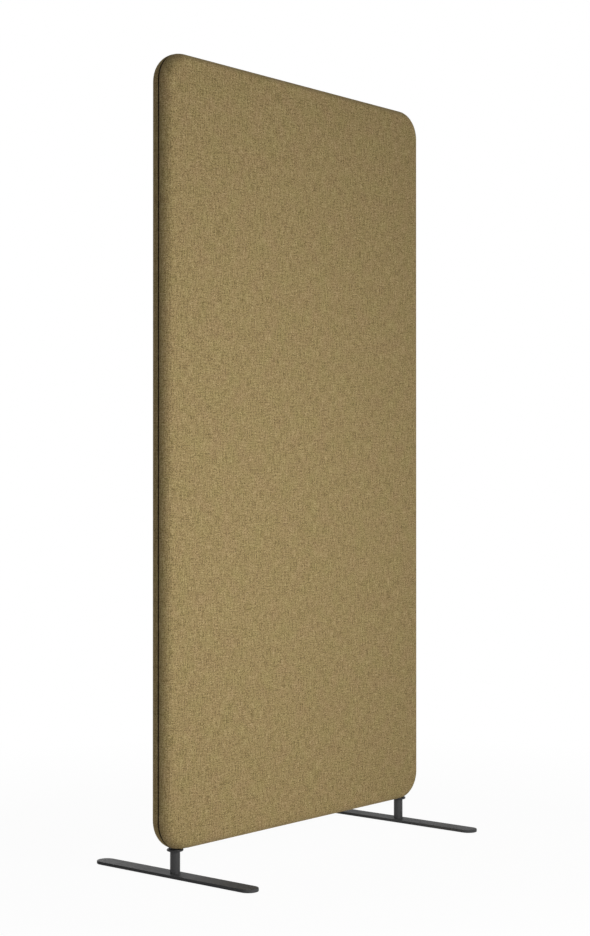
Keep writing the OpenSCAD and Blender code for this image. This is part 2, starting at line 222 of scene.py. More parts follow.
# Covers: each is one closed shell, a skin of woven cloth with its hem folded into the zip's slot. A cloth
# simulation blows up a slightly smaller skin; the padding keeps it from going in, and it may stand proud a little.
cover = {
    "slot": 0.0019,  # from the mid-plane to the hem's fold
    "fold": ((0.0010, 0.0001), (0.0006, 0.0), (0.00025, 0.0001), (0.00005, 0.0004)),  # inset, depth past the slot
    "foldIn": 0.00001,  # inside the fold, the rows start this much further in
    "foldStep": 0.0001,
    "hemFrom": 0.001,  # past the slot
    "hemEnd": 0.0045,
    "hemThick": 0.0005,
    "thick": 0.0009,
    "easeRows": 4,  # past the hem, before the full thickness and travel
    "arcFrom": 0.0012,  # past the hem's end
    "arcSteps": 16,
    "faceRows": 6,  # from the end of the round edge to the flat middle, both counted
    "shrink": 0.0012,
    "pressure": 2.0,
    "stiff": 80,
    "mass": 0.3,
    "quality": 6,
    "frames": 20,
    "hold": (0.8, 0.2, 0.02),  # the padding's grip on the skin: at the hem, where the face begins, on the face
    "proud": 0.0008,
    "crownFade": 0.06,
}
hemRows = 7  # its fold counted


def coverProfile():
    # inset and depth from the fold of the hem, along the hem, over the round edge and on to the corner's centre
    slot, width = cover["slot"], panel["depth"] - panel["band"]
    hem = [(inset, slot + past) for inset, past in cover["fold"]]
    depths = np.linspace(slot + cover["hemFrom"], cover["hemEnd"], hemRows - len(hem))
    hem += [(float(edgeInset(depth)), depth) for depth in depths]
    first = math.asin((cover["hemEnd"] + cover["arcFrom"] - panel["band"]) / width)
    angle = np.linspace(first, math.pi / 2, cover["arcSteps"] + 1)
    arc = np.stack([panel["round"] * (1 - np.cos(angle)), panel["band"] + width * np.sin(angle)], -1)
    rest = np.linspace(arc[-1, 0], panel["corner"], cover["faceRows"])[1:]
    face = np.stack([rest, np.full(len(rest), panel["depth"])], -1)
    return np.concatenate([np.array(hem), arc, face])


def outwards(profile):
    # each row's direction square to the profile, as a share of inset and of depth
    step = np.gradient(profile, axis=0)
    step /= np.linalg.norm(step, axis=1)[:, None]
    return np.stack([-step[:, 1], step[:, 0]], -1)


def insideOf(profile, thick):
    # the same rows moved inwards, square to the profile; the hem is thinner, and its fold only steps back
    full = hemRows - 1 + cover["easeRows"]
    wall = np.interp(np.arange(len(profile)), [hemRows - 1, full], [cover["hemThick"], thick])[:, None]
    inner = profile - wall * outwards(profile)
    rolled = len(cover["fold"])
    back = profile[rolled, 0] + cover["hemThick"]
    inner[:rolled, 0] = np.linspace(profile[0, 0] + cover["foldIn"], back, rolled)
    inner[:rolled, 1] = profile[0, 1] + np.arange(1, rolled + 1) * cover["foldStep"]
    inner[-1, 0] = profile[-1, 0]
    return inner


def spreadOut(profile, amount):
    # turns one amount for each point into travel along the skin's own direction
    rows = len(profile) - 1
    way = outwards(profile)[:rows, None]
    ring = np.concatenate([-way[..., :1] * plan["way"][None, :, :1], -way[..., 1:] * np.ones((1, ringCount, 1)),
                           -way[..., :1] * plan["way"][None, :, 1:]], -1)
    middle = np.tile([0.0, -1.0, 0.0], (len(plan["middle"]), 1))
    return np.concatenate([ring.reshape(-1, 3), middle]) * amount[:, None]


def inflate(name, profile):
    # cloth with air pressure inside: the hem is pinned, the padding grips the rest, and the gain is softly capped
    rows = len(profile)
    ring = (rows - 1) * ringCount
    ease = np.clip((np.arange(rows) - hemRows + 1) / cover["easeRows"], 0, 1)
    start = profile - (cover["shrink"] * ease)[:, None] * outwards(profile)
    start[-1, 0] = profile[-1, 0]
    points = np.concatenate([ringPoints(start[:-1]).reshape(-1, 3), middlePoints(start[-1, 1])])
    body = meshPiece(name, points, skinFaces(rows, ring))
    pins = body.vertex_groups.new(name="hem")
    firm, edge, face = cover["hold"]
    hold = np.interp(np.arange(rows - 1), [hemRows - 1, hemRows, hemRows + cover["arcSteps"]], [1.0, firm, edge])
    for row, value in enumerate(hold):
        pins.add(list(range(row * ringCount, (row + 1) * ringCount)), float(value), "REPLACE")
    pins.add(list(range(ring, len(points))), face, "REPLACE")
    cloth = body.modifiers.new("cloth", "CLOTH")
    cloth.point_cache.frame_end = cover["frames"]
    settings = cloth.settings
    settings.quality = cover["quality"]
    settings.mass = cover["mass"]
    settings.tension_stiffness = cover["stiff"]
    settings.compression_stiffness = cover["stiff"]
    settings.shear_stiffness = cover["stiff"] / 2
    settings.use_pressure = True
    settings.uniform_pressure_force = cover["pressure"]
    settings.vertex_group_mass = "hem"
    settings.effector_weights.gravity = 0
    scene = bpy.context.scene
    for step in range(1, cover["frames"] + 1):
        scene.frame_set(step)
    held = body.evaluated_get(bpy.context.evaluated_depsgraph_get()).to_mesh()
    blown = np.zeros(len(held.vertices) * 3)
    held.vertices.foreach_get("co", blown)
    scene.frame_set(1)
    bpy.data.objects.remove(body)
    travel = blown.reshape(-1, 3) - points
    gain = (travel * spreadOut(profile, np.ones(len(points)))).sum(1)
    shrunk = cover["shrink"] * np.concatenate([np.repeat(ease[:-1], ringCount), np.ones(len(plan["middle"]))])
    proud = cover["proud"] * np.tanh(np.maximum(gain - shrunk, 0) / cover["proud"])
    print(name, "gained", round(float(gain.max()) * 1000, 1), "mm,",
          "and stands", round(float(proud.max()) * 1000, 2), "mm proud")
    return spreadOut(profile, proud)


def unrolled(profile):
    # cloth coordinates: the face lies flat, and the edge carries on outwards by its own length
    length = np.concatenate([[0], np.cumsum(np.linalg.norm(np.diff(profile[::-1], axis=0), axis=1))])[::-1]
    reach = length[:, None, None]
    return plan["base"][None] + plan["way"][None] * reach


def shell(name, outer, inner, travel, rear=False):
    # one closed wall: inner rows from the middle out to the hem, then outer rows back to the middle
    rows = len(outer)
    ownRows = (rows - 1) * ringCount
    ringTravel = travel[:ownRows].reshape(rows - 1, ringCount, 3)
    both = np.concatenate([ringPoints(inner[:-1])[::-1] + ringTravel[::-1], ringPoints(outer[:-1]) + ringTravel])
    middles = [middlePoints(inner[-1, 1]) + travel[ownRows:], middlePoints(outer[-1, 1]) + travel[ownRows:]]
    points = dented(np.concatenate([both.reshape(-1, 3)] + middles))
    cloth = unrolled(outer)[:-1]
    uv = np.concatenate([cloth[::-1].reshape(-1, 2), cloth.reshape(-1, 2), plan["middle"], plan["middle"]])
    total = 2 * (rows - 1)
    number = np.arange(total * ringCount).reshape(total, ringCount)
    first = (total * ringCount + plan["meets"])[None]
    last = first + len(plan["middle"])
    number = np.concatenate([first, number, last])
    after = np.roll(number, -1, 1)
    quads = np.stack([number[:-1], after[:-1], after[1:], number[1:]], -1).reshape(-1, 4)
    startFan = quads[:, 0] == quads[:, 1]
    endFan = quads[:, 2] == quads[:, 3]
    triangles = np.concatenate([quads[startFan][:, 1:], quads[endFan][:, :3]])
    middle = middleFaces(total * ringCount)
    quads = np.concatenate([quads[~startFan & ~endFan], middle[:, ::-1], middle + len(plan["middle"])])
    if rear:
        points = points * (1, -1, 1)
        quads, triangles = quads[:, ::-1], triangles[:, ::-1]
    return meshPiece(name, points, quads.tolist() + triangles.tolist(), uv)


bushHole = {"radius": 0.0085, "sides": 48, "below": 0.01, "above": 0.0139}  # from the panel's lower edge


def cutBushHoles(piece):
    # round holes up through the lower edge, where the feet's bushes pass
    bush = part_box("foot_bush_right")
    middle = (bush[0] + bush[1]) / 2
    radius, sides = bushHole["radius"], bushHole["sides"]
    around = np.radians(np.arange(sides) * (360 / sides))
    edge = panel["middle"] - panel["halfHeight"]
    for side in (-1, 1):
        circle = np.stack([side * middle.x + radius * np.cos(around), radius * np.sin(around)], -1)
        points = np.concatenate([np.column_stack([circle, np.full(sides, level)])
                                 for level in (edge - bushHole["below"], edge + bushHole["above"])])
        faces = stripFaces(2, sides).tolist() + [list(range(sides))[::-1], list(range(sides, 2 * sides))]
        drill = meshPiece("drill", points, faces)
        cut = piece.modifiers.new("hole", "BOOLEAN")
        cut.object, cut.operation, cut.solver = drill, "DIFFERENCE", "EXACT"
        bpy.context.view_layer.objects.active = piece
        bpy.ops.object.modifier_apply(modifier="hole")
        bpy.data.objects.remove(drill)


outerRows = coverProfile()
travel = inflate("blownCover", outerRows)  # once, as both covers are alike
innerRows = insideOf(outerRows, cover["thick"])
frontCover = shell("frontCover", outerRows, innerRows, travel)
rearCover = shell("rearCover", outerRows, innerRows, travel, True)
for piece in (frontCover, rearCover):
    cutBushHoles(piece)
    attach(piece, "panel")
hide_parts("front_cover")
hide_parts("rear_cover")
print("covers made with", len(frontCover.data.polygons), "faces each")


# The path round the panel's edge, measured clockwise from the middle of the bottom as seen from the front.
# Each stretch moves either the base point or the angle of the way out, so plain interpolation is exact.
turnLength = panel["corner"] * math.pi / 2
pathMarks = np.cumsum([0, innerX, turnLength, 2 * innerZ, turnLength, 2 * innerX,
                       turnLength, 2 * innerZ, turnLength, innerX])
pathX = innerX * np.array([0, -1, -1, -1, -1, 1, 1, 1, 1, 0])
pathZ = innerZ * np.array([-1, -1, -1, 1, 1, 1, 1, -1, -1, -1])
pathAngle = np.radians([-90, -90, -180, -180, -270, -270, -360, -360, -450, -450])


def pathAt(along):
    # base point, way out and way along at each distance; past the end the path starts again
    along = np.asarray(along) % pathMarks[-1]
    angle = np.interp(along, pathMarks, pathAngle)
    base = np.stack([np.interp(along, pathMarks, pathX), np.interp(along, pathMarks, pathZ) + panel["middle"]], -1)
    out = np.stack([np.cos(angle), np.sin(angle)], -1)
    return base, out, np.stack([out[:, 1], -out[:, 0]], -1)


def placed(along, forward, inset, depth, rear):
    # a shape's points at each distance: forward along the path, inset from the outline, depth from the mid-plane
    base, out, on = pathAt(along)
    flat = base[:, None] + out[:, None] * (panel["corner"] - inset)[:, None] + on[:, None] * forward[:, None]
    deep = np.broadcast_to(depth if rear else -depth, flat.shape[:2])
    return np.stack([flat[..., 0], deep, flat[..., 1]], -1)


def copies(name, points, rings, sides, flip, angle=None):
    # one small closed tube for each row of points, counted ring by ring, with both ends capped
    count, size = len(points), rings * sides
    ends = np.array([list(range(sides))[::-1], list(range(size - sides, size))])
    offset = np.arange(count)[:, None, None] * size
    faces = []
    for group in (stripFaces(rings, sides), ends):
        group = group[:, ::-1] if flip else group
        faces += (offset + group[None]).reshape(-1, group.shape[1]).tolist()
    return meshPiece(name, points.reshape(-1, 3), faces, angle=angle)


# Zip: moulded teeth in two staggered rows, woven tapes that carry them
zipper = {
    "startTurn": 23.39,  # degrees up the lower corners, where the stops are
    "pitch": 0.0025,
    "firstTooth": 0.0006,  # past the start, plus a row's own shift
    "lastTooth": 0.0012,  # before the end
    "tooth": [  # depth, the middle's inset, half length and half height, from its head to where it grips the tape
        (0.00034, 0.0013, 0.00042, 0.0005), (0.0006, 0.0013, 0.00078, 0.0008),
        (0.0011, 0.0013, 0.0007, 0.00088), (0.0014, 0.0013, 0.0005, 0.0007),
        (0.0018, 0.0018, 0.0006, 0.00045), (0.0024, 0.0018, 0.00056, 0.0004),
    ],
    "toothSides": 6,
    "toothAngle": 50,
    "tapeFrom": 0.0024,
    "tapeTo": 0.0124,
    "tapeLip": 0.0002,
    "tapeRows": 5,
    "tapeInset": 0.0011,
    "tapeThick": 0.0006,
    "tapeStep": 0.02,
}
zipStart = innerX + panel["corner"] * math.radians(zipper["startTurn"])
zipEnd = pathMarks[-1] - zipStart


def toothRow(name, shift, rear):
    # each tooth is a small loft across the zip, through six rings from its head to its grip
    first = zipStart + zipper["pitch"] * shift + zipper["firstTooth"]
    along = np.arange(first, zipEnd - zipper["lastTooth"], zipper["pitch"])
    sides = zipper["toothSides"]
    turn = 2 * np.pi * (np.arange(sides) + 0.5) / sides
    depth, middle, length, height = np.array(zipper["tooth"]).T
    forward = (length[:, None] * np.cos(turn)).ravel()
    inset = (middle[:, None] + height[:, None] * np.sin(turn)).ravel()
    points = placed(along, forward, inset, np.repeat(depth, sides), rear)
    print(name, len(along), "teeth")
    return copies(name, points, len(depth), sides, not rear, zipper["toothAngle"])


for name, shift, rear in (("frontTeeth", 0.25, False), ("rearTeeth", 0.75, True)):
    teeth = toothRow(name, shift, rear)
    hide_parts("zip_teeth_rear" if rear else "zip_teeth_front")
    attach(teeth, "panel")


def sweptStrip(name, start, end, step, profile, rear=False):
    # a closed profile of inset and depth carried along the path, with both ends capped
    turns = pathMarks[(pathMarks > start) & (pathMarks < end)]
    along = np.unique(np.concatenate([np.arange(start, end, step), [end], turns]))
    count, size = len(along), len(profile)
    points = dented(placed(along, np.zeros(size), profile[:, 0], profile[:, 1], rear))
    uv = np.column_stack([np.tile(profile[:, 1], count), np.repeat(along, size)])
    faces = stripFaces(count, size)
    ends = [list(range(size))[::-1], list(range((count - 1) * size, count * size))]
    if rear:
        faces, ends = faces[:, ::-1], [end[::-1] for end in ends]
    return meshPiece(name, points.reshape(-1, 3), faces.tolist() + ends, uv, angle=40)


def bandSides(depths):
    # inset and depth of a thin band that follows the cover's round edge: its outer side, and its inner one back
    top, bow = zipper["tapeInset"], edgeInset(np.abs(depths))
    inner = np.column_stack([top + zipper["tapeThick"] + bow, depths])
    return np.column_stack([top + bow, depths]), inner[::-1]


def tapeProfile():
    # a band whose two edges are drawn together
    low, high, lip = zipper["tapeFrom"], zipper["tapeTo"], zipper["tapeLip"]
    outer, inner = bandSides(np.linspace(low + lip, high - lip, zipper["tapeRows"]))
    halfway = zipper["tapeInset"] + zipper["tapeThick"] / 2
    return np.concatenate([[(halfway, low)], outer, [(halfway + edgeInset(high - lip), high)], inner])


for name, rear in (("frontTape", False), ("rearTape", True)):
    tape = sweptStrip(name, zipStart, zipEnd, zipper["tapeStep"], tapeProfile(), rear)
    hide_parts("zip_tape_rear" if rear else "zip_tape_front")
    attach(tape, "panel")
print("zip made")

# Closing strip: a doubled strip of the cover's cloth across the slot, between the feet
closing = {"rows": 15, "clear": 0.0176, "step": 0.004}  # clear: from the collar's axis to the strip's end
stripReach = dent["middle"] - closing["clear"]
stripStart, stripEnd = pathMarks[-1] - stripReach, pathMarks[-1] + stripReach  # across the path's own start
stripRows = np.concatenate(bandSides(np.linspace(-zipper["tapeTo"], zipper["tapeTo"], closing["rows"])))
closingStrip = sweptStrip("closingStrip", stripStart, stripEnd, closing["step"], stripRows)
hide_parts("bottom_closing_strip")
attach(closingStrip, "panel")

# Stitches: one row of thread on each hem, all round the zip and along the closing strip
stitch = {
    "pitch": 0.0034,
    "half": 0.0012,
    "thread": 0.00022,
    "depth": 0.0032,
    "margin": 0.002,  # to the closing strip's ends
    "sides": 6,
    "rings": [  # share of the half length, sink into the cloth, share of the thread's radius
        (-1.0, 0.00030, 0.5), (-0.7, 0.00002, 1.0), (0.0, -0.0001, 1.0), (0.7, 0.00002, 1.0), (1.0, 0.00030, 0.5),
    ],
}


def stitchRow(name, rear):
    # each stitch is a short tube along the hem, whose ends are thinner and dive into the cloth
    bottom = np.arange(stripStart + stitch["margin"], stripEnd - stitch["margin"], stitch["pitch"])
    along = np.concatenate([np.arange(zipStart, zipEnd, stitch["pitch"]), bottom])
    sides = stitch["sides"]
    turn = 2 * np.pi * np.arange(sides) / sides
    share, sink, fat = np.array(stitch["rings"]).T
    forward = np.repeat(share * stitch["half"], sides)
    radius = (fat * stitch["thread"])[:, None]
    inset = ((sink + edgeInset(stitch["depth"]))[:, None] + radius * np.sin(turn)).ravel()
    depth = (stitch["depth"] + radius * np.cos(turn)).ravel()
    return copies(name, dented(placed(along, forward, inset, depth, rear)), len(share), sides, rear)


for name, rear in (("frontStitches", False), ("rearStitches", True)):
    stitches = stitchRow(name, rear)
    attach(stitches, "panel")
print("stitches made")

# Padding: soft wadding that wraps the frame, one closed form a side
padding = {
    "play": 0.0002,  # under the cover
    "from": 0.0048,
    "lip": 0.0009,
    "frameInset": 0.0078,
    "frameHalf": 0.0152,
    "step": 0.0001,
}


def paddingShell(name, outer, travel, rear):
    # its outer rows lie under the cover past the hem, its inner rows run along the frame's edge and face
    start = padding["from"] + padding["lip"]
    skin = insideOf(outer, cover["thick"] + padding["play"])[hemRows + 1:]
    skin[0, 1] = start
    turn = len(skin) - cover["faceRows"]
    inner = np.empty_like(skin)
    inner[:turn, 0] = padding["frameInset"]
    inner[:turn, 1] = np.linspace(start, padding["frameHalf"], turn)
    inner[turn:, 0] = np.linspace(padding["frameInset"] + padding["step"], panel["corner"], cover["faceRows"])
    inner[turn:, 1] = padding["frameHalf"]
    return shell(name, skin, inner, travel[(hemRows + 1) * ringCount:], rear)


for name, rear in (("frontPadding", False), ("rearPadding", True)):
    piece = paddingShell(name, outerRows, travel, rear)
    cutBushHoles(piece)
    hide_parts("rear_padding" if rear else "front_padding")
    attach(piece, "panel")
print("padding made")

# Felt: absorber slabs with their four corners cut out round the corner blocks
slab = {"notch": 0.050, "columns": 25, "rows": 45, "wave": 0.00015, "ripples": (61, 2, 23, 47, 13)}


def slabMarks(low, high, count):
    # evenly spaced from low to high, and both edges of the notches
    notch = slab["notch"]
    return np.unique(np.concatenate([np.linspace(low, high, count), [low + notch, high - notch]]))


def feltSlab(name, node):
    # two grids, a little uneven by crossed sines, joined by walls along the edges that only one quad has
    low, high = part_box(node)
    marksX, marksZ = slabMarks(low.x, high.x, slab["columns"]), slabMarks(low.z, high.z, slab["rows"])
    x, z = [grid.ravel() for grid in np.meshgrid(marksX, marksZ)]
    first, sway, second, third, fourth = slab["ripples"]
    wave = slab["wave"] * (np.sin(x * first + sway * np.sin(z * second)) * np.sin(z * third + x * fourth) - 1)
    front = np.column_stack([x, low.y - wave, z])
    back = np.column_stack([x, high.y + wave, z])
    quads = stripFaces(len(marksZ), len(marksX), False)
    centreX = np.minimum(x - low.x, high.x - x)[quads].mean(1)
    centreZ = np.minimum(z - low.z, high.z - z)[quads].mean(1)
    quads = quads[~((centreX < slab["notch"]) & (centreZ < slab["notch"]))]
    directed = np.concatenate([quads[:, [0, 1]], quads[:, [1, 2]], quads[:, [2, 3]], quads[:, [3, 0]]])
    _, where, times = np.unique(np.sort(directed, 1), axis=0, return_index=True, return_counts=True)
    rim = directed[where[times == 1]]
    size = len(x)
    walls = np.stack([rim[:, 1], rim[:, 0], rim[:, 0] + size, rim[:, 1] + size], -1)
    faces = np.concatenate([quads, quads[:, ::-1] + size, walls])
    used = np.unique(faces)
    renumber = np.zeros(2 * size, int)
    renumber[used] = np.arange(len(used))
    return meshPiece(name, np.concatenate([front, back])[used], renumber[faces].tolist(), angle=40)


for name, node in (("frontFelt", "front_absorber"), ("rearFelt", "rear_absorber")):
    felt = feltSlab(name, node)
    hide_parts(node)
    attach(felt, "panel")
print("felt slabs made")


# Materials: sockets are wrapped, so that sums on them add Math nodes
class Wire:
    def __init__(self, shop, socket):
        self.shop, self.socket = shop, socket

    def sum(self, operation, other=None, swap=False):
        pair = {0: other, 1: self} if swap else ({0: self} if other is None else {0: self, 1: other})
        return self.shop.add("ShaderNodeMath", {"operation": operation}, pair)

    def __add__(self, other): return self.sum("ADD", other)
    def __radd__(self, other): return self.sum("ADD", other, True)
    def __sub__(self, other): return self.sum("SUBTRACT", other)
    def __rsub__(self, other): return self.sum("SUBTRACT", other, True)
    def __mul__(self, other): return self.sum("MULTIPLY", other)
    def __rmul__(self, other): return self.sum("MULTIPLY", other, True)
    def __truediv__(self, other): return self.sum("DIVIDE", other)
    def __pow__(self, other): return self.sum("POWER", other)
    def __mod__(self, other): return self.sum("FLOORED_MODULO", other)


class Shop:
    # one material and its nodes
    def __init__(self, name, constants):
        self.material = bpy.data.materials.new(name)
        self.material.use_nodes = True
        self.tree = self.material.node_tree
        self.shader = self.tree.nodes["Principled BSDF"]
        for socket, value in constants.items():
            self.shader.inputs[socket].default_value = value

    def add(self, kind, settings, inputs, output=0):
        node = self.tree.nodes.new(kind)
        for setting, value in settings.items():
            if setting == "stops":
                ramp = node.color_ramp
                while len(ramp.elements) < len(value):
                    ramp.elements.new(0.5)
                for element, (place, colour) in zip(ramp.elements, value):
                    element.position, element.color = place, colour
            else:
                setattr(node, setting, value)
        for socket, value in inputs.items():
            self.feed(node.inputs[socket], value)
        return Wire(self, node.outputs[output])

    def feed(self, socket, value):
        if isinstance(value, Wire):
            self.tree.links.new(value.socket, socket)
        else:
            socket.default_value = value

    def set(self, colour, normal, rough=None):
        self.feed(self.shader.inputs["Base Color"], colour)
        self.feed(self.shader.inputs["Normal"], normal)
        if rough is not None:
            self.feed(self.shader.inputs["Roughness"], rough)

    def place(self, kind="Object"):
        # x, y and z of the object, or u, v of its cloth coordinates, all in metres
        spot = self.add("ShaderNodeTexCoord", {}, {}, kind)
        parts = self.add("ShaderNodeSeparateXYZ", {}, {0: spot})
        return [Wire(self, output) for output in parts.socket.node.outputs]

    def vector(self, x, y, z=0.0):
        return self.add("ShaderNodeCombineXYZ", {}, {0: x, 1: y, 2: z})

    def noise(self, x, y, z=0.0, detail=1.0, rough=0.5, warp=0.0):
        inputs = {"Vector": self.vector(x, y, z), "Scale": 1.0,
                  "Detail": detail, "Roughness": rough, "Distortion": warp}
        return self.add("ShaderNodeTexNoise", {}, inputs, "Fac")

    def sizedNoise(self, sizes, **settings):
        # noise with its own size in metres along x, y and z
        return self.noise(*[along / size for along, size in zip(self.place(), sizes)], **settings)

    def evenNoise(self, size, **settings):
        return self.sizedNoise((size, size, size), **settings)

    def ramp(self, value, stops):
        stops = [(place, (*colour, 1)) for place, colour in stops]
        return self.add("ShaderNodeValToRGB", {"stops": stops}, {0: value})

    def twoTone(self, value, low, high, look):
        # from the look's dark tone, up to low, to its light one, from high
        return self.ramp(value, [(low, look["dark"]), (high, look["light"])])

    def mix(self, factor, first, second, blend="MIX"):
        inputs = {0: factor, 6: first, 7: second}
        return self.add("ShaderNodeMix", {"data_type": "RGBA", "blend_type": blend}, inputs, 2)

    def spread(self, value, low, high):
        # stretches a value from low..high to 0..1
        return self.add("ShaderNodeMapRange", {}, {0: value, 1: low, 2: high})

    def bump(self, height, distance, strength=1.0):
        return self.add("ShaderNodeBump", {}, {"Strength": strength, "Distance": distance, "Height": height})


coverLook = {
    "yarn": 0.00095,
    "slub": 0.0036,
    "strands": (3.71, 2.93),  # keeps neighbouring yarns' noise apart, warp and weft
    "crown": (0.45, 0.55),  # a yarn's height: its own share, and the share that dips with the crossing yarn
    "drift": 0.55,
    "drifts": [  # length across and up in metres, place in the noise, detail and weight
        (0.0018, 0.0030, 2.0, 1.0, 0.92), (0.005, 0.0014, 8.0, 1.0, 0.64),  # specks
        (0.0022, 0.024, 12.0, 2.0, 0.85), (0.025, 0.0018, 16.0, 2.0, 0.65),  # long streaks
    ],
    "tones": (0.295, 0.725),  # the part of the noise that runs from dark to light
    "dark": (0.168, 0.119, 0.047),
    "middle": (0.40, 0.2965, 0.126),
    "light": (0.605, 0.472, 0.241),
    "cloud": 0.042,
    "warmer": (1.022, 0.980, 1.015, 1),
    "greener": (0.982, 1.014, 0.945, 1),
    "fleck": (0.72, 0.61, 0.38),
    "fleckSize": (0.0021, 0.0017),
    "fleckRange": (0.69, 0.76),
    "fleckShare": 0.55,
    "gap": 0.55,  # below this height the yarns shade each other
    "gapShade": (0.42, 0.40, 0.38, 1),
    "relief": 0.00022,
    "sheen": 0.12,
}


def wovenCloth(name, look):
    # plain weave on the cloth coordinates: warp and weft take turns on top, each yarn crowned like a sine, and each
    # yarn drifts between light, middle and dark tones along its own length, with specks and long streaks across them
    shop = Shop(name, {"Roughness": 0.92, "Sheen Weight": look["sheen"], "Sheen Roughness": 0.5,
                       "Sheen Tint": (*look["light"], 1), "Specular IOR Level": 0.25})
    u, v, _ = shop.place("UV")
    warp, weft = u / look["yarn"], v / look["yarn"]
    warpNumber, weftNumber = warp.sum("FLOOR"), weft.sum("FLOOR")
    onTop = (warpNumber + weftNumber) % 2.0
    warpCrown = (warp.sum("FRACT") * math.pi).sum("SINE")
    weftCrown = (weft.sum("FRACT") * math.pi).sum("SINE")
    own, shared = look["crown"]
    warpHeight = warpCrown * (own + shared * weftCrown)
    weftHeight = weftCrown * (own + shared * warpCrown)
    height = onTop * warpHeight + (1 - onTop) * weftHeight
    slub, (warpStrand, weftStrand) = look["slub"], look["strands"]
    warpTone = shop.noise(warpNumber * warpStrand, v / slub, detail=1.5)
    weftTone = shop.noise(weftNumber * weftStrand, u / slub, 5.0, detail=1.5)
    drift = sum(weight * (shop.noise(u / across, v / up, spot, detail=detail) - 0.5)
                for across, up, spot, detail, weight in look["drifts"])
    tone = onTop * warpTone + (1 - onTop) * weftTone + look["drift"] * drift
    stops = [(0.0, look["dark"]), (0.5, look["middle"]), (1.0, look["light"])]
    yarn = shop.ramp(shop.spread(tone, *look["tones"]), stops)
    cloudy = shop.noise(u / look["cloud"], v / look["cloud"], 1.0, detail=2.0)
    yarn = shop.mix(shop.spread(cloudy, 0.3, 0.7), shop.mix(1.0, yarn, look["warmer"], "MULTIPLY"),
                    shop.mix(1.0, yarn, look["greener"], "MULTIPLY"))
    wide, tall = look["fleckSize"]
    fleck = shop.spread(shop.noise(u / wide, v / tall, 15.0), *look["fleckRange"])
    yarn = shop.mix(look["fleckShare"] * fleck, yarn, (*look["fleck"], 1))
    shade = shop.mix(1.0, yarn, look["gapShade"], "MULTIPLY")
    shop.set(colour=shop.mix(shop.spread(height, 0.0, look["gap"]), shade, yarn),
             rough=0.86 + 0.1 * (1 - height), normal=shop.bump(height, look["relief"], 0.6))
    return shop.material


threadLook = {"twist": 9000, "dark": (0.2, 0.15, 0.07), "light": (0.42, 0.33, 0.17), "relief": 0.00004}


def sewingThread():
    # twisted thread: fine slanted ridges
    shop = Shop("sewingThread", {"Roughness": 0.7, "Sheen Weight": 0.1})
    x, y, z = shop.place()
    twist = ((x + y + z) * threadLook["twist"]).sum("SINE")
    shop.set(colour=shop.twoTone(0.5 + 0.5 * twist, 0.0, 1.0, threadLook),
             normal=shop.bump(twist, threadLook["relief"]))
    return shop.material


tapeLook = {"fold": 0.0016, "rib": 0.0007, "mottle": (0.001, 0.003), "ribShare": 0.35,
            "dark": (0.008, 0.007, 0.005), "light": (0.045, 0.038, 0.03), "relief": 0.00008}


def herringbone():
    # tape woven in a herringbone: slanted ridges that turn every couple of millimetres
    shop = Shop("tapeWeave", {"Roughness": 0.85, "Sheen Weight": 0.1, "Specular IOR Level": 0.3})
    u, v, _ = shop.place("UV")
    fold = (u / tapeLook["fold"]).sum("PINGPONG", 1.0) * tapeLook["fold"]
    rib = ((v + fold) * (2 * math.pi / tapeLook["rib"])).sum("SINE")
    wide, long = tapeLook["mottle"]
    ribShare = tapeLook["ribShare"]
    tone = ribShare * (0.5 + 0.5 * rib) + (1 - ribShare) * shop.noise(u / wide, v / long)
    shop.set(colour=shop.twoTone(tone, 0.0, 1.0, tapeLook), normal=shop.bump(rib, tapeLook["relief"]))
    return shop.material


teethLook = {"flow": 0.0008, "dark": (0.021, 0.014, 0.004), "light": (0.042, 0.028, 0.009), "relief": 0.00003}


def mouldedTeeth():
    # satin plastic with faint flow marks
    shop = Shop("mouldedTeeth", {"Roughness": 0.5, "Specular IOR Level": 0.1})
    flow = shop.evenNoise(teethLook["flow"], detail=2)
    shop.set(colour=shop.twoTone(flow, 0.3, 0.7, teethLook),
             rough=0.42 + 0.2 * flow, normal=shop.bump(flow, teethLook["relief"]))
    return shop.material


platedLook = {"rub": (0.003, 0.003, 0.004), "scratch": (0.0004, 0.0004, 0.006),
              "dark": (0.03, 0.028, 0.027), "light": (0.16, 0.15, 0.145), "relief": 0.00002}


def burnishedMetal():
    # dark plated metal, rubbed brighter in patches
    shop = Shop("burnishedMetal", {"Metallic": 0.85, "Roughness": 0.35})
    rub = shop.sizedNoise(platedLook["rub"], detail=3, rough=0.6)
    scratch = shop.sizedNoise(platedLook["scratch"], detail=2)
    shop.set(colour=shop.twoTone(rub, 0.35, 0.75, platedLook),
             rough=0.28 + 0.25 * scratch, normal=shop.bump(scratch, platedLook["relief"]))
    return shop.material


coats = {
    "matCoat": {"gloss": 0.03, "rough": 0.42, "dark": (0.068, 0.069, 0.071), "light": (0.086, 0.087, 0.089)},
    "postCoat": {"gloss": 0.35, "rough": 0.5, "dark": (0.036, 0.036, 0.037), "light": (0.048, 0.048, 0.049)},
    "satinCoat": {"gloss": 0.4, "rough": 0.45, "dark": (0.008, 0.008, 0.0085), "light": (0.014, 0.014, 0.0145)},
}
coatLook = {"peel": 0.0007, "patch": 0.03, "scuff": (0.004, 0.03, 0.01), "scuffTone": (0.07, 0.071, 0.073, 1),
            "scuffShare": 0.3, "relief": 0.00006}


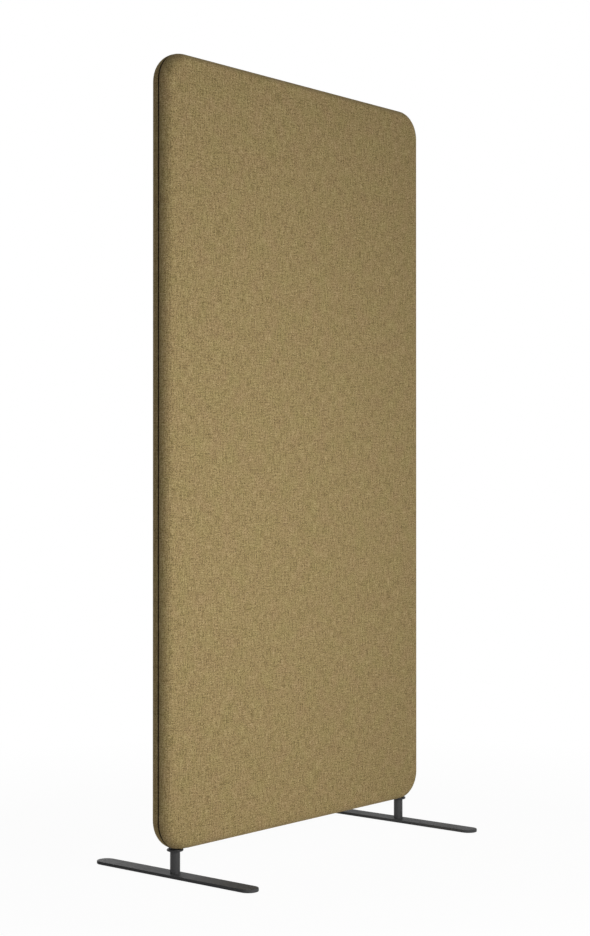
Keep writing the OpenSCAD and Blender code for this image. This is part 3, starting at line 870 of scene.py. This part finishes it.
def powderCoat(name):
    # charcoal powder coat: fine orange peel, a few dull scuffs
    coat = coats[name]
    rough = coat["rough"]
    shop = Shop(name, {"Roughness": rough, "Specular IOR Level": coat["gloss"]})
    peel = shop.evenNoise(coatLook["peel"], detail=2)
    patch = shop.evenNoise(coatLook["patch"], detail=3)
    scuff = shop.spread(shop.sizedNoise(coatLook["scuff"], detail=4, rough=0.7), 0.62, 0.75)
    tone = shop.twoTone(0.5 * peel + 0.5 * patch, 0.35, 0.65, coat)
    shop.set(colour=shop.mix(coatLook["scuffShare"] * scuff, tone, coatLook["scuffTone"]),
             rough=rough - 0.08 + 0.16 * patch + 0.08 * scuff, normal=shop.bump(peel, coatLook["relief"], 0.8))
    return shop.material


spruce = {"dark": (0.42, 0.25, 0.10), "light": (0.66, 0.47, 0.25)}
woods = {  # along: the axis of the grain, x 0 and z 2
    "spruceUpright": {"along": 2, **spruce},
    "spruceAcross": {"along": 0, **spruce},
    "beechDowel": {"along": 2, "dark": (0.45, 0.27, 0.13), "light": (0.62, 0.42, 0.24)},
}
grain = {"ring": (0.016, 0.35), "pore": (0.0006, 0.03), "rings": 28.0, "relief": 0.0001}  # sizes across, along


def grainedWood(name):
    # growth rings stretched along the grain, with fine pores
    wood = woods[name]
    shop = Shop(name, {"Roughness": 0.6})

    def stretched(across, along, **settings):
        sizes = [along if axis == wood["along"] else across for axis in range(3)]
        return shop.sizedNoise(sizes, detail=2, **settings)

    rings = ((stretched(*grain["ring"], warp=0.6) * grain["rings"]).sum("SINE") + 1) / 2
    pores = stretched(*grain["pore"])
    shop.set(colour=shop.twoTone(0.6 * rings + 0.4 * pores, 0.1, 0.8, wood),
             rough=0.5 + 0.2 * pores, normal=shop.bump(0.5 * rings + pores, grain["relief"]))
    return shop.material


plyLook = {"ply": 0.0025, "grain": (0.0008, 0.001, 0.03), "glueFrom": (0.42, 0.47),
           "dark": (0.36, 0.2, 0.085), "light": (0.58, 0.38, 0.19), "glue": (0.12, 0.06, 0.025, 1), "relief": 0.0001}


def plies():
    # plywood: sheets stacked through the thickness with dark glue lines, the grain turning from ply to ply
    shop = Shop("plies", {"Roughness": 0.6})
    layer = shop.place()[1] / plyLook["ply"] + 0.5
    turned = layer.sum("FLOOR") % 2.0
    upright, level = shop.sizedNoise(plyLook["grain"]), shop.sizedNoise(plyLook["grain"][::-1])
    fibres = turned * upright + (1 - turned) * level
    glue = shop.spread((layer.sum("FRACT") - 0.5).sum("ABSOLUTE"), *plyLook["glueFrom"])
    face = shop.twoTone(0.35 * turned + 0.65 * fibres, 0.2, 0.8, plyLook)
    shop.set(colour=shop.mix(glue, face, plyLook["glue"]), normal=shop.bump(fibres, plyLook["relief"]))
    return shop.material


boardLook = {"fibre": (0.0012, 0.001, 0.004),
             "dark": (0.09, 0.042, 0.018), "light": (0.21, 0.11, 0.05), "relief": 0.0001}


def fibreBoard():
    # pressed board: short fibres in two browns
    shop = Shop("fibreBoard", {"Roughness": 0.7})
    upright = shop.sizedNoise(boardLook["fibre"], detail=3)
    level = shop.sizedNoise(boardLook["fibre"][::-1], detail=3)
    fibres = upright * 0.5 + level * 0.5
    shop.set(colour=shop.twoTone(fibres, 0.35, 0.65, boardLook), normal=shop.bump(fibres, boardLook["relief"]))
    return shop.material


fills = {
    "felt": {"size": 0.0012, "dark": (0.5, 0.5, 0.48), "light": (0.78, 0.78, 0.75)},
    "wadding": {"size": 0.004, "dark": (0.7, 0.67, 0.6), "light": (0.9, 0.87, 0.8)},
}


def fibreFill(name):
    # felted or lofted fibres: tangled fine noise
    fill = fills[name]
    shop = Shop(name, {"Roughness": 0.95, "Sheen Weight": 0.3})
    tangle = shop.evenNoise(fill["size"], detail=5, rough=0.65, warp=1.5)
    shop.set(colour=shop.twoTone(tangle, 0.3, 0.7, fill), normal=shop.bump(tangle, fill["size"] * 0.3))
    return shop.material


zincLook = {"spangle": 0.004, "marks": (0.01, 0.01, 0.0002),
            "dark": (0.46, 0.46, 0.45), "light": (0.62, 0.62, 0.6), "relief": 0.00002}


def zincSteel():
    # zinc-plated steel with a soft spangle and turning marks
    shop = Shop("zincSteel", {"Metallic": 1.0, "Roughness": 0.35})
    spangle = shop.evenNoise(zincLook["spangle"], detail=2)
    marks = shop.sizedNoise(zincLook["marks"])
    shop.set(colour=shop.twoTone(spangle, 0.3, 0.7, zincLook),
             rough=0.28 + 0.2 * marks, normal=shop.bump(marks, zincLook["relief"]))
    return shop.material


rubberLook = {"grain": 0.0006, "dark": (0.010, 0.010, 0.010), "light": (0.02, 0.02, 0.02), "relief": 0.00006}


def padRubber():
    # soft black rubber with a fine moulded grain
    shop = Shop("padRubber", {"Roughness": 0.8})
    speckle = shop.evenNoise(rubberLook["grain"], detail=2)
    shop.set(colour=shop.twoTone(speckle, 0.3, 0.7, rubberLook), normal=shop.bump(speckle, rubberLook["relief"]))
    return shop.material


def dress(piece, material):
    piece.data.materials.clear()
    piece.data.materials.append(material)


def bothSides(*parts):
    return [part + side for part in parts for side in ("_left", "_right")]


pieces = bpy.data.objects
finishes = {
    wovenCloth("coverCloth", coverLook): ["frontCover", "rearCover", "closingStrip"],
    sewingThread(): ["frontStitches", "rearStitches"],
    herringbone(): ["frontTape", "rearTape"],
    mouldedTeeth(): ["frontTeeth", "rearTeeth"],
    burnishedMetal(): ["zip_end_stops", "zip_slider", "zip_pull"],
    powderCoat("matCoat"): bothSides("foot_bar"),
    powderCoat("postCoat"): bothSides("foot_post"),
    powderCoat("satinCoat"): bothSides("foot_collar", "foot_bush"),
    grainedWood("spruceUpright"): bothSides("frame_stile"),
    grainedWood("spruceAcross"): ["frame_rail_top", "frame_rail_bottom"],
    grainedWood("beechDowel"): ["frame_dowels"],
    plies(): bothSides("corner_block_top", "corner_block_bottom"),
    fibreBoard(): ["septum_board"],
    fibreFill("felt"): ["frontFelt", "rearFelt"],
    fibreFill("wadding"): ["frontPadding", "rearPadding"],
    zincSteel(): bothSides("threaded_insert", "foot_bolt"),
    padRubber(): bothSides("foot_glides"),
}
for material, names in finishes.items():
    for name in names:
        dress(pieces[name], material)
print("materials set on", sum(len(names) for names in finishes.values()), "pieces")

# Stage: a wide pale floor, which keeps a soft shadow near the feet and goes plain white further out
stage = {
    "reach": 40.0,
    "drop": 0.0002,
    "pale": (0.9, 0.9, 0.9, 1),
    "glow": 0.96,  # how white the camera sees it near the feet
    "shadowFrom": 0.7,  # from here to shadowTo it turns fully white
    "shadowTo": 1.6,
}


def paleFloor():
    # pale paint for the light, plain white for the camera and for reflections, by the distance from the middle
    shop = Shop("paleFloor", {"Base Color": stage["pale"], "Roughness": 0.9, "Specular IOR Level": 0.1})
    x, y, _ = shop.place()
    away = (x * x + y * y) ** 0.5
    plain = shop.spread(away, stage["shadowFrom"], stage["shadowTo"])
    rays = shop.add("ShaderNodeLightPath", {}, {})
    outputs = rays.socket.node.outputs
    seen = (Wire(shop, outputs["Is Camera Ray"]) + Wire(shop, outputs["Is Glossy Ray"])
            + Wire(shop, outputs["Is Transmission Ray"])).sum("MINIMUM", 1.0)
    white = shop.tree.nodes.new("ShaderNodeEmission")
    blend = shop.tree.nodes.new("ShaderNodeMixShader")
    shop.feed(blend.inputs[0], seen * (stage["glow"] + (1 - stage["glow"]) * plain))
    shop.tree.links.new(shop.shader.outputs[0], blend.inputs[1])
    shop.tree.links.new(white.outputs[0], blend.inputs[2])
    shop.tree.links.new(blend.outputs[0], shop.tree.nodes["Material Output"].inputs[0])
    return shop.material


reach, drop = stage["reach"], stage["drop"]
floorCorners = [(-reach, -reach, -drop), (reach, -reach, -drop), (reach, reach, -drop), (-reach, reach, -drop)]
floor = meshPiece("floor", floorCorners, [[0, 1, 2, 3]])
dress(floor, paleFloor())


def studioWorld(strength):
    # even grey light, and plain white wherever the camera or a reflection looks past the object
    world = bpy.data.worlds.new("studio")
    world.use_nodes = True
    bpy.context.scene.world = world
    tree = world.node_tree
    background = tree.nodes["Background"]
    path = tree.nodes.new("ShaderNodeLightPath")
    total = path.outputs["Is Camera Ray"]
    for ray in ("Is Glossy Ray", "Is Transmission Ray"):
        either = tree.nodes.new("ShaderNodeMath")
        either.operation = "MAXIMUM"
        tree.links.new(total, either.inputs[0])
        tree.links.new(path.outputs[ray], either.inputs[1])
        total = either.outputs[0]
    level = tree.nodes.new("ShaderNodeMapRange")
    tree.links.new(total, level.inputs[0])
    level.inputs[3].default_value = strength
    level.inputs[4].default_value = 1.0
    tree.links.new(level.outputs[0], background.inputs[1])
    background.inputs[0].default_value = (1, 1, 1, 1)


studioWorld(strength=0.22)
lamps = {
    "frontBox": {"at": (-0.36, -1.7, 0.72), "aim": (-0.3, 0, 0.74), "wide": 0.6, "tall": 1.4, "watts": 20.8},
    "rearBox": {"at": (1.2, 3.0, 1.1), "aim": (0.1, 0, 0.8), "wide": 1.6, "tall": 1.6, "watts": 30},
}
for name, lamp in lamps.items():
    light = bpy.data.lights.new(name, "AREA")
    light.shape, light.size, light.size_y = "RECTANGLE", lamp["wide"], lamp["tall"]
    light.energy = lamp["watts"]
    box = bpy.data.objects.new(name, light)
    box.location = lamp["at"]
    box.rotation_euler = (Vector(lamp["aim"]) - Vector(lamp["at"])).to_track_quat("-Z", "Y").to_euler()
    box.visible_camera = False
    bpy.context.scene.collection.objects.link(box)

# Camera: level with the panel's middle, turned fifty degrees to the face
view = {"at": (-2.7999, -2.3162, 0.7544), "turn": 50.40, "tilt": 0.279, "lens": 68.63, "sensor": 36}
camera = bpy.data.objects.new("camera", bpy.data.cameras.new("camera"))
bpy.context.scene.collection.objects.link(camera)
camera.data.sensor_width = view["sensor"]
camera.data.lens = view["lens"]
camera.location = view["at"]
camera.rotation_euler = (math.radians(90 + view["tilt"]), 0, math.radians(-view["turn"]))
bpy.context.scene.camera = camera
bpy.context.scene.view_settings.view_transform = "Standard"
